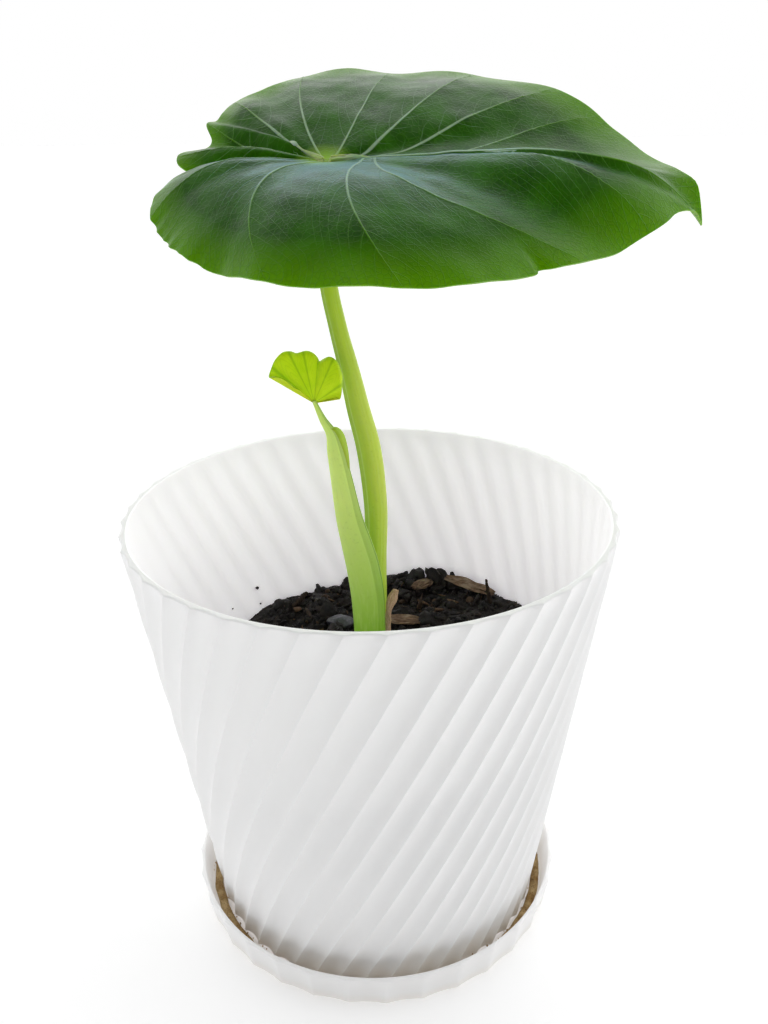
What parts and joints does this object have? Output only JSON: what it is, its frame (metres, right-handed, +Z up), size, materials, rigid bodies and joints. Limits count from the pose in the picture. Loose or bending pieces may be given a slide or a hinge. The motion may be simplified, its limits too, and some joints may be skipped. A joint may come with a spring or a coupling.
{
  "type": "potted alocasia",
  "caption": "Young alocasia with a broad heart-shaped leaf and an unfurling leaf, in bark-strewn compost in a tapered spiral-fluted plastic pot on a shallow saucer.",
  "frame": {"origin": "centre of the saucer's flat underside, on the pot's axis", "axes": "+Z up along the pot's axis, -Y towards the side where the young leaf stands in front, +X towards the grown leaf's tip"},
  "size_m": [0.1973, 0.1779, 0.3125],
  "materials": {
    "white_plastic_saucer": "satin moulded polypropylene",
    "white_plastic_pot": "satin moulded polypropylene",
    "tan_silt": "damp gritty silt",
    "dark_compost": "moist crumbly compost",
    "brown_corm": "rough papery skin",
    "green_petiole": "smooth waxy stem",
    "light_green_sheath": "smooth waxy sheath",
    "straw_stub": "dry fibrous",
    "waxy_green_leaf": "waxy upper side",
    "yellow_green_young_leaf": "thin and glossy",
    "brown_bark": "weathered bark",
    "dark_twig": "damp rotted wood",
    "grey_charcoal": "smooth damp charcoal"
  },
  "bodies": {
    "root": {"saucer": "white_plastic_saucer", "pot": "white_plastic_pot", "washed_out_silt": "tan_silt", "soil": "dark_compost", "corm": "brown_corm", "mature_petiole": "green_petiole", "young_petiole": "light_green_sheath", "dried_sheath_stub": "straw_stub", "mature_leaf_blade": "waxy_green_leaf", "young_leaf_blade": "yellow_green_young_leaf", "bark_chip_large": "brown_bark", "bark_chip_flat": "brown_bark", "bark_chip_curled": "brown_bark", "bark_chip_small_1": "brown_bark", "bark_chip_small_2": "brown_bark", "bark_chip_small_3": "brown_bark", "bark_chip_small_4": "brown_bark", "twig_upright": "dark_twig", "twig_left": "dark_twig", "charcoal_lump": "grey_charcoal"}
  },
  "joints": []
}
